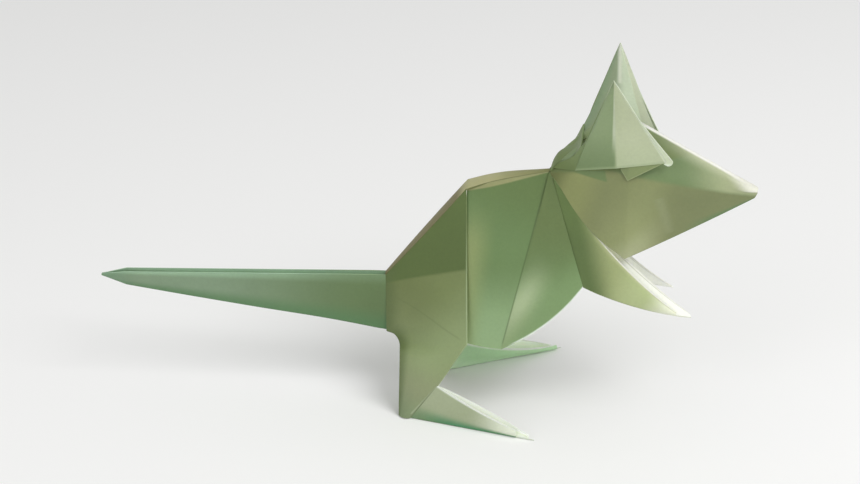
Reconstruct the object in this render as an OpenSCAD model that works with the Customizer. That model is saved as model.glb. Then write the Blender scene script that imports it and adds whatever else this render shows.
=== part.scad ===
// A rat folded from one square of paper, standing on its two hind feet.
// +X is the way it faces, +Z is up. The origin is on the table, at the middle of its length.
// Each wall is a thin curved sheet laid through rows of points between two of its edges.
// Walls that meet at a fold share its points, and a bead along the fold is its rounded outside.

/* [Paper] */
// Thickness of a folded wall, all its layers together
sheet_t = 0.6; // [0.5:0.1:0.9]
// Thickness of a fold, where the layers stand a little apart
fold_t = 0.8; // [0.8:0.1:1.2]
// Inset of the layer that goes back under the haunch's front fold
pleat_gap = 3.1; // [2.6:0.1:3.6]
// How far that layer goes back before it turns forward again
pleat_run = 3; // [2:0.5:4]

/* [Tail] */
// Length of the tail, from its tip to the haunches
tail_len = 94; // [75:1:105]
// Height above the table of the tail's open top edges, at the haunches
tail_root_h = 41.3; // [39:0.1:45]
// Height of the same edges near the tip
tail_tip_h = 38.6; // [32:0.1:46]
// Depth of the trough at the haunches
tail_root_depth = 19.4; // [15:0.1:21]
// Depth of the trough near the tip
tail_tip_depth = 3.4; // [2:0.1:6]
// Gap between the two top edges of the tail
tail_gap = 3; // [2:0.1:6]

/* [Back] */
// Length of the back, from the tail to the neck
back_len = 52; // [46:1:58]
// Distance of the haunch's peak in front of the tail's root
peak_run = 26; // [22:0.5:30]
// Height of the haunch's peak above the table
peak_h = 73; // [66:0.5:78]
// Height of the neck above the table
neck_h = 78.8; // [74:0.2:84]
// Width of the flattened strip along the spine
spine_w = 6; // [3:0.2:9]
// Rise of the spine's strip above a straight line from peak to neck
spine_arch = 0.8; // [0:0.1:2]

/* [Flanks] */
// Distance of the belly's corner in front of the tail's root
belly_run = 38.5; // [35:0.5:42]
// Height of the belly's corner above the table
belly_h = 24; // [20:0.5:28]
// Half the width of the body at the belly's corner
belly_out = 17; // [12:0.5:20]
// Distance of the chest behind the nose
chest_back = 53.5; // [50:0.5:57]
// Height of the chest above the table
chest_h = 43; // [38:0.5:48]
// Half the width of the body at the chest
chest_out = 9; // [6:0.5:12]
// How far a flank bulges outwards
flank_bulge = 1.2; // [0:0.1:2]

/* [Hind legs] */
// Height of the knee above the table
knee_h = 26; // [23:0.5:30]
// Distance of the knee in front of the heel
knee_run = 21.5; // [18:0.5:25]
// Height of the curve where the tail's underside turns down into the leg
thigh_h = 19; // [14:0.2:20]
// Length of a foot's bottom fold, heel to toe
foot_len = 45.7; // [38:0.1:54]
// Height of a foot's walls where they leave the leg
foot_h = 11.6; // [9:0.2:14]
// Height of a foot's blunt toe above its bottom fold
toe_h = 0.9; // [0.8:0.1:1.6]
// Gap between the two walls of a foot, at its middle
foot_gap = 4.4; // [2.4:0.2:7]
// How far behind the toe the near foot's outer wall ends
near_toe_back = 6; // [4:0.5:10]
// How far behind the toe the far foot's outer wall ends
far_toe_back = 4; // [3.5:0.5:10]
// How far behind the toe a foot's inner wall ends
inner_toe_back = 2; // [1:0.5:3]
// Distance of the near heel in front of the tail's root
heel_run = 6; // [3:0.5:9]
// Distance of the near heel from the middle plane
near_heel_out = 20; // [14:0.5:24]
// Angle by which the near foot turns out
near_turn = 16; // [8:1:30]
// How far the far foot is set ahead of the near one
stride = 10; // [0:0.5:12]
// Distance of the far heel from the middle plane
far_heel_out = 11.4; // [9:0.2:20]
// Angle by which the far foot turns out
far_turn = 27.6; // [8:0.2:32]

/* [Front legs] */
// Distance of the near paw behind the nose
paw_back = 19.2; // [12:0.2:30]
// Height of the paws above the table
paw_h = 34.8; // [28:0.2:42]
// Distance of a paw from the middle plane
paw_out = 11; // [6:0.5:14]
// How far the far paw is pulled back
far_paw_back = 5.2; // [0:0.2:10]
// How far behind a paw's tip its outer wall ends
paw_tip = 5; // [3:0.5:8]
// Height of a front leg's inner wall above the chest
arm_wall = 12; // [8:0.5:15]

/* [Head] */
// Length of the head, from the neck to the nose
head_len = 65; // [58:1:72]
// Height of the nose above the table
nose_h = 75.2; // [68:0.2:82]
// Depth of the blunt nose
nose_depth = 3; // [2:0.2:5]
// Height of the head's ridge between the ears
poll_h = 97.5; // [92:0.5:102]
// Distance of the ridge's highest point in front of the neck
poll_run = 24; // [20:0.5:28]
// Height of the jaw's corner above the table
jaw_h = 54.2; // [50:0.2:60]
// Distance of the jaw's corner in front of the neck
jaw_run = 25.5; // [22:0.5:30]
// Half the width of the head at the jaw
jaw_out = 9; // [6:0.5:12]
// Half the width of the rolled ridge at the snout
snout_roll = 2.6; // [1.5:0.1:4]

/* [Ears] */
// Height of the ears' tips above the table
ear_h = 115.3; // [106:0.1:124]
// Distance of an ear's tip from the middle plane
ear_out = 17.9; // [10:0.1:24]
// Distance of an ear's tip in front of the neck
ear_run = 18.6; // [14:0.2:26]
// How far the far ear's tip leans ahead of the near one
ear_lead = 1.9; // [0:0.1:4]
// Width of an ear along its bottom edge
ear_w = 29; // [24:0.5:34]
// How far the middle crease of an ear is pressed in
ear_dish = 1.6; // [0.5:0.1:3]
// Depth of the near ear's front corner below the ridge's highest point
near_ear_drop = 11.2; // [9:0.2:14]
// Depth of the far ear's front corner below it
far_ear_drop = 14.4; // [12:0.2:16]
// Distance of an inner layer's front foot in front of the ridge's highest point
brow_run = 4.8; // [4:0.2:8]
// Depth of the same foot below it
brow_drop = 6.2; // [5.4:0.1:7]
// Rise of an ear's inner layer over the head
ear_arch = 4.2; // [3:0.1:5]

/* [Hidden] */
paper_green = [0.64, 0.70, 0.52];
// Facets round a fold
fold_facets = 6;
// Sides of the model, as signs of Y
near = -1;
far = 1;
// Landmarks along the length
nose_x = (tail_len + back_len + head_len) / 2;
tip_x = -nose_x;
root_x = tip_x + tail_len;
peak_x = root_x + peak_run;
neck_x = root_x + back_len;
chest_x = nose_x - chest_back;
belly_x = root_x + belly_run;
jaw_x = neck_x + jaw_run;
poll_x = neck_x + poll_run;
ear_x = neck_x + ear_run;
// Height of a bottom fold's middle line, pressed on the table
ground = 0.3 * fold_t;
// Half the side of the block that trims the bottom folds flat on the table
trim = 200;

function mix(a, b, u) = a + (b - a) * u;
function line(a, b, n) = [for (i = [0 : n]) mix(a, b, i / n)];
// Points from a to b on a shallow curve that stands off by lift at its middle
function bow(a, b, n, lift) = [for (i = [0 : n]) let (u = i / n) mix(a, b, u) + 4 * u * (1 - u) * lift];
// Rows of points between two edges with as many points each
function between(edge_a, edge_b, n, lift = [0, 0, 0]) = [
    for (j = [0 : n]) let (u = j / n)
        [for (i = [0 : len(edge_a) - 1]) mix(edge_a[i], edge_b[i], u) + 4 * u * (1 - u) * lift]
];

// Way that one cell of the rows faces, and the mean of the cells round a point
function cell_facing(rows, j, i) =
    j < 0 || i < 0 || j > len(rows) - 2 || i > len(rows[0]) - 2 ? [0, 0, 0] :
    cross(rows[j + 1][i + 1] - rows[j][i], rows[j][i + 1] - rows[j + 1][i]);
function facing(rows, j, i) =
    let (v = cell_facing(rows, j - 1, i - 1) + cell_facing(rows, j - 1, i)
           + cell_facing(rows, j, i - 1) + cell_facing(rows, j, i)) v / norm(v);

// A curved wall of paper through rows of points
module sheet(rows) {
    m = len(rows);
    n = len(rows[0]);
    function skin(side) = [for (j = [0 : m - 1], i = [0 : n - 1])
        rows[j][i] + side * sheet_t / 2 * facing(rows, j, i)];
    rim = concat([for (i = [0 : n - 2]) i], [for (j = [0 : m - 2]) j * n + n - 1],
                 [for (i = [n - 1 : -1 : 1]) (m - 1) * n + i], [for (j = [m - 1 : -1 : 1]) j * n]);
    cells = [for (j = [0 : m - 2], i = [0 : n - 2]) j * n + i];
    front = [for (k = cells, half = [0, 1]) half == 0 ? [k, k + 1, k + n + 1] : [k, k + n + 1, k + n]];
    back = [for (f = front) [f[2] + m * n, f[1] + m * n, f[0] + m * n]];
    edge = [for (k = [0 : len(rim) - 1], half = [0, 1]) let (a = rim[k], b = rim[(k + 1) % len(rim)])
        half == 0 ? [b, a, a + m * n] : [b, a + m * n, b + m * n]];
    polyhedron(concat(skin(1), skin(-1)), concat(front, back, edge));
}

// The rounded outside of a fold along a chain of points
module fold(points)
    for (i = [0 : len(points) - 2])
        hull() for (p = [points[i], points[i + 1]]) translate(p) sphere(d = fold_t, $fn = fold_facets);

// Landmarks shared by the walls, each for one side of the rat
function spot(s, x, out, z) = [x, s * out, z];
function root_top(s) = spot(s, root_x, tail_gap / 2, tail_root_h);
function root_low(s) = spot(s, root_x + 0.2, 1.1, tail_root_h - tail_root_depth - 0.1);
function peak(s) = spot(s, peak_x, spine_w / 2, peak_h);
function neck(s) = spot(s, neck_x, 0.9, neck_h);
function withers(s) = mix(peak(s), neck(s), 0.5) + [0, s * 0.4, spine_arch];
function back_edge(s) = mix(peak(s), withers(s), 0.5) + [0, 0, 0.4 * spine_arch];
function belly(s) = spot(s, belly_x, belly_out, belly_h);
function chest(s) = spot(s, chest_x, chest_out, chest_h);
function heel_out(s) = s == near ? near_heel_out : far_heel_out;
function turn(s) = s == near ? near_turn : far_turn;
function heel(s) = spot(s, root_x + heel_run + (s == near ? 0 : stride), heel_out(s), ground);
// A step along a foot and a step sideways out of it
function ahead(s, d) = d * [cos(turn(s)), s * sin(turn(s)), 0];
function aside(s, d) = d * [-sin(turn(s)), s * cos(turn(s)), 0];
function toe(s) = heel(s) + ahead(s, foot_len);
function heel_front(s) = heel(s) + ahead(s, 0.09 * foot_len);
// The leg leans outwards as it comes down, so its joints lie between the belly and the heel
function leg_out(s, z) = mix(heel_out(s), mix(heel_out(s), belly_out, 0.75), z / knee_h);
function knee(s) = spot(s, heel(s)[0] + knee_run, leg_out(s, knee_h) + 1, knee_h);
function crotch(s) = spot(s, heel(s)[0] + 0.58 * knee_run, leg_out(s, foot_h) + 1.2, foot_h);
function thigh(s) = spot(s, heel(s)[0] - 0.3, 0.62 * heel_out(s), thigh_h);
function shin(s) = mix(thigh(s), heel(s), 0.5);
function paw(s) = spot(s, nose_x - paw_back - (s == near ? 0 : far_paw_back), paw_out, paw_h);
function jaw(s) = spot(s, jaw_x, jaw_out, jaw_h);

// Points down the front edge of the haunch, and the hidden fold behind it, under the haunch
function haunch_front(s) = line(peak(s), knee(s), 4);
function pleat_fold(s) = concat(
    [mix(peak(s), root_top(s), pleat_run / peak_run) - [0, s * 0.6 * pleat_gap, 0.8]],
    [for (i = [1 : 4]) haunch_front(s)[i] - [pleat_run, s * pleat_gap, 0]]);

// Tail: a trough folded along its underside and open along its top, which runs on
// inside the haunches and rises to the spine
tail_steps = [0.05, 0.3, 0.55, 0.8, 1];
tail_tip = [tip_x + fold_t / 2, 0, tail_tip_h - 0.45 * tail_tip_depth];
tail_fold = concat([tail_tip - [0, 0, 0.2]],
    [for (u = tail_steps) [mix(tip_x, root_x, u), 0,
        mix(tail_tip_h - tail_tip_depth, tail_root_h - tail_root_depth, u) - 1.6 * u * (1 - u)]],
    [[root_x + 0.6 * peak_run, 0, mix(tail_root_h - tail_root_depth, peak_h, 0.3)]]);
function tail_top(s) = concat([tail_tip + [0, s * 0.15, 0.2]],
    [for (u = tail_steps) spot(s, mix(tip_x, root_x, u), tail_gap / 2, mix(tail_tip_h, tail_root_h, u))],
    [mix(root_top(s), peak(s), 0.6) - [0, s * 0.6, 2.5]]);

module tail() {
    for (s = [near, far]) {
        sheet(between(tail_top(s), tail_fold, 2, [0, s * 0.3, 0]));
        fold([tail_fold[5], root_low(s)]);
    }
    fold(tail_fold);
}

// Haunch: the broad outer wall from the spine and the tail down to the heel
module haunch(s) {
    // The tail's underside turns down into the leg's rear edge in a quarter bend
    fall = thigh(s) - root_low(s);
    bend = [for (a = [0 : 30 : 90]) let (b = 1 - cos(a))
        root_low(s) + [fall[0] * sin(a), fall[1] * b, fall[2] * b]];
    rear = concat([root_top(s), mix(root_top(s), root_low(s), 0.5)], bend, [shin(s), heel(s)]);
    front = concat(haunch_front(s), [mix(knee(s), crotch(s), 0.5), crotch(s), heel_front(s)]);
    sheet(between(rear, front, 4, [0, s * flank_bulge, 0]));
    fold(rear);
    fold(front);
}

// Inner layer of the leg, folded over the leg's rear edge
module shank_lining(s) {
    rear = [thigh(s), shin(s), heel(s)];
    front = [knee(s) - [0, s * 3, 0],
        mix(knee(s), crotch(s), 0.6) - [0, s * 2.4, 0], crotch(s) - [0, s * 1.8, 0]];
    sheet(between(rear, front, 2));
    fold([crotch(s), front[2]]);
}

// Foot: a trough folded along its bottom, which stands on the table
module foot(s) {
    // A wall of the foot ends a little behind the toe, on the outer side farther back
    function wall(end, gap) = between(line(heel_front(s), end, 4),
        bow(crotch(s), end + [0, 0, toe_h], 4, aside(s, gap / 2)), 2, aside(s, gap / 5));
    sheet(wall(toe(s) - ahead(s, s == near ? near_toe_back : far_toe_back), foot_gap));
    sheet(wall(toe(s) - ahead(s, inner_toe_back), -foot_gap));
    fold(concat([heel(s)], line(heel_front(s), toe(s), 3)));
}

// Flank: the paper turns back under the haunch's front fold, comes forward, bends at the
// crease from neck to belly, and ends at the fold from neck to chest
module flank(s) {
    hidden = pleat_fold(s);
    sheet(between(haunch_front(s), hidden, 1));
    fold(hidden);
    belly_edge = bow(belly(s), chest(s), 4, [1.4, s * 1, -1.3]);
    low = concat(bow(hidden[4], belly(s), 4, [0, 0, -0.4]), [for (i = [1 : 4]) belly_edge[i]]);
    top = concat([hidden[0], peak(s) - [0, s * 0.4 * pleat_gap, fold_t / 2], back_edge(s), withers(s)],
        [for (i = [4 : 8]) mix(neck(s) + [0, 0, fold_t], low[i], 0.02)]);
    sheet(between(top, low, 5, [0, s * flank_bulge, 0]));
    fold(line(neck(s), chest(s), 3));
}

// Spine: the ridge of the back pressed flat into a long narrow strip, whose edges are the
// top edges of the haunches and flanks
module spine() {
    function edge(s) = concat(bow(root_top(s), peak(s), 4, [0, s * flank_bulge, 0]),
        [back_edge(s), withers(s), neck(s)]);
    sheet(between(edge(near), edge(far), 2, [0, 0, 0.3]));
    for (s = [near, far]) fold(edge(s));
}

// Front leg: a trough folded along its underside, from the chest to the paw
module front_leg(s) {
    function under(reach) = [for (i = [0 : 4]) let (u = reach * i / 4)
        mix(chest(s), paw(s), u) + 4 * u * (1 - u) * [0, s * 0.8, -1.3]];
    // The outer wall ends behind the paw's tip, which the inner wall reaches
    outer = under(1 - paw_tip / norm(paw(s) - chest(s)));
    outer_rim = bow(neck(s) + [0.9, s * 1, -1.4], outer[4] + [0, s * 0.2, 0.9], 4, [0, s * 1.9, 0.4]);
    inner_rim = bow(chest(s) + [4, -s * 3, arm_wall], paw(s) + [-0.5, -s * 0.8, 0.8], 4, [0, -s * 0.8, 2.2]);
    sheet(between(outer_rim, outer, 3, [0, s * 0.6, 0]));
    sheet(between(under(1), inner_rim, 2));
    fold(under(1));
}

// Head: a hood bent over a rolled ridge, open below, which closes to a blunt nose
snout_steps = [0.35, 0.7, 0.9, 1];
nose = [nose_x - sheet_t / 2, 0, nose_h];
function along_snout(a, b, lift) = [for (u = snout_steps) mix(a, b, u) + 4 * u * (1 - u) * lift];

module head() {
    ridge = concat(bow([neck_x, 0, neck_h + 0.6], [poll_x, 0, poll_h], 3, [-1, 0, 1]),
        along_snout([poll_x, 0, poll_h], nose, [0, 0, 0]));
    last = len(ridge) - 1;
    function lip(s) = concat(bow(neck(s) + [0, s * 0.4, -0.9], jaw(s), 3, [0.5, s * 0.5, 0]),
        along_snout(jaw(s), nose + [-0.9, s * 0.8, -nose_depth], [0, s * 0.7, 0]));
    function cheek(s) = let (top = jaw(s) + [0.5, s * 0.5, 0.58 * (poll_h - jaw_h)])
        concat(bow(neck(s) + [0, s * 0.3, -0.3], top, 3, [0, s * 1.2, 0]),
            along_snout(top, nose + [-0.2, s * 1, -0.5 * nose_depth], [0, s * 1.2, 0]));
    // The ridge is rolled over a width that grows towards the snout and closes at the nose
    function roll(s) = [for (i = [0 : last])
        let (w = i == 0 || i == last ? 0.6 : mix(1.2, snout_roll, i / last)) ridge[i] + [0, s * w, -0.4 * w]];
    function wall(s) = concat(between(lip(s), cheek(s), 2, [0, 0, 0]),
        [mix(cheek(s), roll(s), 0.5) + [for (p = ridge) [0, s * 0.4, 0]], roll(s)]);
    for (s = [near, far]) sheet(concat(wall(s), [ridge]));
    fold(ridge);
    fold([ridge[last], cheek(near)[last], lip(near)[last], lip(far)[last], cheek(far)[last], ridge[last]]);
}

// Ear: a flap opened into a cup that leans outwards, with a crease down its outer face
module ear(s) {
    tip = spot(s, ear_x + (s == near ? 0 : ear_lead), ear_out, ear_h);
    rear = spot(s, ear_x - 0.37 * ear_w, 4.5, poll_h - 16.6);
    front = spot(s, ear_x + 0.63 * ear_w, 9.6, poll_h - (s == near ? near_ear_drop : far_ear_drop));
    low = mix(rear, front, 0.45) + [0, s * 2.6, 0.6];
    // The rear edge comes down from the tip, and its inner layer runs on to the nape
    bent = mix(tip, rear, 0.64) + [0.3, s * 2.6, 0.8];
    nape = spot(s, neck_x + 2.2, 2.6, neck_h + 2.2);
    shared = line(mix(tip, bent, 0.05), bent, 2);
    hollow = mix(bent, nape, 0.5) + [0, s * 0.3, -1.4];
    crease = [for (u = [0.05, 0.35, 0.64, 1]) mix(tip, low, u) - 4 * u * (1 - u) * [0, s * ear_dish, 0]];
    front_rim = [for (u = [0.05, 0.35, 0.64, 1]) mix(tip, front, u) + 4 * u * (1 - u) * [0, s * 0.5, 0]];
    rear_half = between(concat(shared, [rear]), crease, 2);
    front_half = between(crease, front_rim, 2);
    sheet(concat(rear_half, [front_half[1], front_half[2]]));
    fold([tip, shared[1], bent, rear]);
    fold(concat([tip], [for (i = [1 : 3]) front_rim[i]]));
    // Inner face, from the ear's rear edge round to the head's ridge
    brow = spot(s, poll_x + brow_run, 3.4, poll_h - brow_drop);
    brow_rim = line(mix(tip, brow, 0.05), brow, 4);
    inner_back = concat(shared, [hollow, nape]);
    arch = [-1, -s * 0.5, ear_arch];
    sheet([for (j = [0 : 4]) bow(inner_back[j], brow_rim[j], 4, arch * pow(j / 4, 2))]);
    fold([bent, hollow, nape, [neck_x + 0.6, 0, neck_h + 0.8]]);
    fold(bow(nape, brow, 4, arch));
}

module folded_rat() color(paper_green) difference() {
    union() {
        tail();
        spine();
        head();
        for (s = [near, far]) {
            haunch(s);
            shank_lining(s);
            foot(s);
            flank(s);
            front_leg(s);
            ear(s);
        }
    }
    // The bottom folds of the feet are pressed flat where they stand on the table
    translate([-trim, -trim, -trim]) cube([2 * trim, 2 * trim, trim]);
}

folded_rat();
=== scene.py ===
# %% [markdown]
# # A rat folded from one sheet of pale green paper
#
# This file dresses a imported CAD part in Blender. The part is a paper rat that stands on its
# two hind feet: a long trough for a tail, two haunches, two flanks, a head bent like a hood,
# and ears opened into cups. The CAD walls have the right shape but few facets and one plain
# colour. Here each wall is laid again as a fine curved sheet, with real thickness, rounded
# folds and the many tones of translucent paper, with painted light and shade among them:
# painted highlights, painted shade in creases and hollows, and paler paint where a wall lies
# in shade.

# %% Load the frame
import math

import bpy
import numpy as np
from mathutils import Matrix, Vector


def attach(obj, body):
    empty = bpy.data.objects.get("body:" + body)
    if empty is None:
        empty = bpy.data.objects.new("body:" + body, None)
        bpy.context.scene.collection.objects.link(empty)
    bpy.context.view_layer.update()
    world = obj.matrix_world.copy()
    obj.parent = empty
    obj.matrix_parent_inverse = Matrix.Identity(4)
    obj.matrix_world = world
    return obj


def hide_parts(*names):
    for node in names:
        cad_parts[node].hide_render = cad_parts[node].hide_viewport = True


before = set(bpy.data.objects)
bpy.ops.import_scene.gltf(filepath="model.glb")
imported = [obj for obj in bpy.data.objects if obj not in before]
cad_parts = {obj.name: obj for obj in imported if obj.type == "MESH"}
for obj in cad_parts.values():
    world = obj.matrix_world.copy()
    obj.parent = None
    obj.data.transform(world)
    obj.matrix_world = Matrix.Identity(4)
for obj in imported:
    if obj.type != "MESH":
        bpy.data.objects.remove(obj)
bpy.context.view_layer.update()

# %% [markdown]
# ## The camera first
#
# The camera stands a little to the right of a straight side view and looks down by 24
# degrees. The lens follows from the size of the rat in the picture: 3.125 pixels for each
# millimetre at 650 mm, in a frame 860 pixels wide.

# %% Camera
AZIMUTH, ELEVATION = math.radians(5), math.radians(24)
TARGET = Vector((0.0027, 0.0, 0.0527))
DISTANCE = 0.65
PIXELS_PER_METRE, FRAME_PIXELS = 3125.0, 860.0

backwards = Vector((math.sin(AZIMUTH) * math.cos(ELEVATION),
                    -math.cos(AZIMUTH) * math.cos(ELEVATION), math.sin(ELEVATION)))
camera_data = bpy.data.cameras.new("camera")
camera_data.sensor_width = 36.0
camera_data.lens = PIXELS_PER_METRE * DISTANCE / FRAME_PIXELS * camera_data.sensor_width
camera = bpy.data.objects.new("camera", camera_data)
camera.location = TARGET + backwards * DISTANCE
camera.rotation_euler = (-backwards).to_track_quat("-Z", "Y").to_euler()
bpy.context.collection.objects.link(camera)
bpy.context.scene.camera = camera
print("lens in mm:", round(camera_data.lens, 1))

# %% [markdown]
# ## Small tools for curves and sheets
#
# A folded wall lies between two edges that are easy to see: a fold on one side and a fold
# or a cut edge on the other. So a wall is made from curves. `curve` runs a smooth line
# through a few points and keeps the corners that are named. `loft` joins several such
# curves, which gives the rows of a sheet. All sizes are in millimetres until the mesh is
# made, because paper is measured that way.

# %% Points, curves and lofts
def point(*xyz):
    return np.array(xyz, float)


def mix(a, b, u):
    return a + (b - a) * u


def curve(points, per=8, corners=()):
    """A smooth line through the points, with a sharp turn at each index in corners."""
    p = np.array(points, float)
    last = len(p) - 1
    out = []
    for i in range(last):
        span = np.linalg.norm(p[i + 1] - p[i])
        tangents = []
        for k in (i, i + 1):
            if k in (0, last) or k in corners:
                tangents.append(p[i + 1] - p[i])
            else:
                around = np.linalg.norm(p[k] - p[k - 1]) + np.linalg.norm(p[k + 1] - p[k])
                tangents.append((p[k + 1] - p[k - 1]) / around * span)
        for u in np.arange(per) / per:
            out.append((2 * u**3 - 3 * u**2 + 1) * p[i] + (u**3 - 2 * u**2 + u) * tangents[0]
                       + (3 * u**2 - 2 * u**3) * p[i + 1] + (u**3 - u**2) * tangents[1])
    return np.array(out + [p[last]])


def bow(a, b, lift, n=24, reach=1.0):
    """A shallow arc from a to b that stands off by lift at its middle, drawn up to reach."""
    u = np.linspace(0, reach, n + 1)[:, None]
    return mix(a, b, u) + 4 * u * (1 - u) * lift


def between(edge_a, edge_b, n, lift=(0, 0, 0)):
    """Rows of points from one edge to another, bulging by lift half way."""
    edge_a, edge_b = np.array(edge_a), np.array(edge_b)
    return np.array([mix(edge_a, edge_b, u) + 4 * u * (1 - u) * np.array(lift, float)
                     for u in np.linspace(0, 1, n + 1)])


def loft(edges, per=4, corners=()):
    """Rows of points that run smoothly through several edges."""
    return np.stack([curve(column, per, corners) for column in np.stack(edges, 1)], 1)


print("curve test, three points:", len(curve([point(0, 0, 0), point(1, 0, 0), point(2, 1, 0)])))

# %% [markdown]
# ## The landmarks of the rat
#
# These are the corners where folds meet, in the same frame as the CAD part: the rat faces
# +X, its near side is towards -Y, and the table is at Z = 0. Each wall below is drawn from
# them, so walls that share a fold share its points exactly.

# %% Landmarks in millimetres
NEAR, FAR = -1, 1
SHEET, FOLD = 0.45, 0.45
TIP_X, ROOT_X, PEAK_X, NECK_X, NOSE_X = -105.5, -11.5, 14.5, 40.5, 105.5
TAIL_ROOT_H, TAIL_TIP_H, TAIL_ROOT_DEPTH, TAIL_TIP_DEPTH, TAIL_GAP = 41.3, 38.6, 19.4, 3.4, 3.0
SPINE_W, SPINE_ARCH, NECK_H, PEAK_H = 8.0, 0.8, 78.8, 73.0
BELLY_H, BELLY_OUT, CHEST_H, CHEST_OUT, BULGE = 24.0, 17.0, 43.0, 9.0, 1.2
PLEAT_GAP, PLEAT_RUN = 2.0, 1.8
KNEE_H, KNEE_RUN, THIGH_H, FOOT_LEN, FOOT_H, FOOT_GAP, TOE_H = 26.0, 21.5, 19.0, 45.7, 11.6, 4.4, 0.9
PAW_TIP = 5.0
POLL = point(64.5, 0, 97.5)
NOSE = point(NOSE_X - 0.3, 0, 75.2)
GROUND = 0.3


def spot(s, x, out, z):
    return point(x, s * out, z)


def root_top(s): return spot(s, ROOT_X, TAIL_GAP / 2, TAIL_ROOT_H)
def root_low(s): return spot(s, ROOT_X + 0.2, 1.1, TAIL_ROOT_H - TAIL_ROOT_DEPTH - 0.9)
def peak(s): return spot(s, PEAK_X, SPINE_W / 2, PEAK_H)
def neck(s): return spot(s, NECK_X, 0.9, NECK_H)
def withers(s): return mix(peak(s), neck(s), 0.5) + point(0, s * 0.4, SPINE_ARCH)
def back_edge(s): return mix(peak(s), withers(s), 0.5) + point(0, 0, 0.4 * SPINE_ARCH)
def belly(s): return spot(s, 27, BELLY_OUT, BELLY_H)
def chest(s): return spot(s, 52, CHEST_OUT, CHEST_H)
def heel_out(s): return 20.0 if s == NEAR else 11.4
def turn(s): return math.radians(16.0 if s == NEAR else 27.6)
def heel(s): return spot(s, ROOT_X + 6 + (0 if s == NEAR else 10), heel_out(s), GROUND)
def ahead(s, d): return d * point(math.cos(turn(s)), s * math.sin(turn(s)), 0)
def aside(s, d): return d * point(-math.sin(turn(s)), s * math.cos(turn(s)), 0)
def toe(s): return heel(s) + ahead(s, FOOT_LEN)
def heel_front(s): return heel(s) + ahead(s, 0.09 * FOOT_LEN)
def leg_out(s, z): return mix(heel_out(s), mix(heel_out(s), BELLY_OUT, 0.75), z / KNEE_H)
def knee(s): return spot(s, heel(s)[0] + KNEE_RUN, leg_out(s, KNEE_H) + 1, KNEE_H)
def crotch(s): return spot(s, heel(s)[0] + 0.58 * KNEE_RUN, leg_out(s, FOOT_H) + 1.2, FOOT_H)
def thigh(s): return spot(s, heel(s)[0] - 0.3, 0.62 * heel_out(s), THIGH_H)
def paw(s): return spot(s, NOSE_X - 19.2 - (0 if s == NEAR else 5.2), 11, 34.8)
def jaw(s): return spot(s, 64.7, 9, 53.4)


print("nose to tail tip:", NOSE_X - TIP_X, "mm; near toe:", toe(NEAR).round(1))

# %% [markdown]
# ## Shader maths as plain Python
#
# A material is a graph of nodes, and long sums of nodes are hard to read. `Shade` wraps one
# output of a node, so that `1 - mask * 0.5` adds the Math nodes by itself. `Finish` owns one
# material. Its `add` makes any node, with its settings first and then its inputs, and its
# `paint` lays colours over each other, each with a mask. The masks are drawn in the side view
# (X and Z in millimetres), or along and across a wall (`u` and `v`, from 0 to 1).

# %% One way to add a node
def new_node(tree, kind, settings, values, named):
    """Adds a node: its settings first, then its inputs in their order, then the named inputs."""
    node = tree.nodes.new(kind)
    for key, value in settings.items():
        setattr(node, key, value)
    usable = [socket for socket in node.inputs if socket.enabled]
    labelled = [(node.inputs[label.replace("_", " ")], value) for label, value in named.items()]
    for socket, value in list(zip(usable, values)) + labelled:
        if isinstance(value, Shade):
            value = value.socket
        if isinstance(value, bpy.types.NodeSocket):
            tree.links.new(value, socket)
        else:
            socket.default_value = value
    return node


# %% Shade and Finish
class Shade:
    """One output of a node. Arithmetic on it adds Math nodes."""

    def __init__(self, finish, socket):
        self.finish, self.socket = finish, socket

    def math(self, operation, *values):
        return self.finish.add("ShaderNodeMath", {"operation": operation}, *values)

    def __add__(self, other): return self.math("ADD", self, other)
    def __sub__(self, other): return self.math("SUBTRACT", self, other)
    def __rsub__(self, other): return self.math("SUBTRACT", other, self)
    def __mul__(self, other): return self.math("MULTIPLY", self, other)
    def __abs__(self): return self.math("ABSOLUTE", self)
    __radd__, __rmul__ = __add__, __mul__

    def ramp(self, low, high, start=0.0, end=1.0):
        """Goes smoothly from start to end while this value goes from low to high."""
        return self.finish.add("ShaderNodeMapRange", {"interpolation_type": "SMOOTHSTEP"},
                               self, low, high, start, end)


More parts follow.
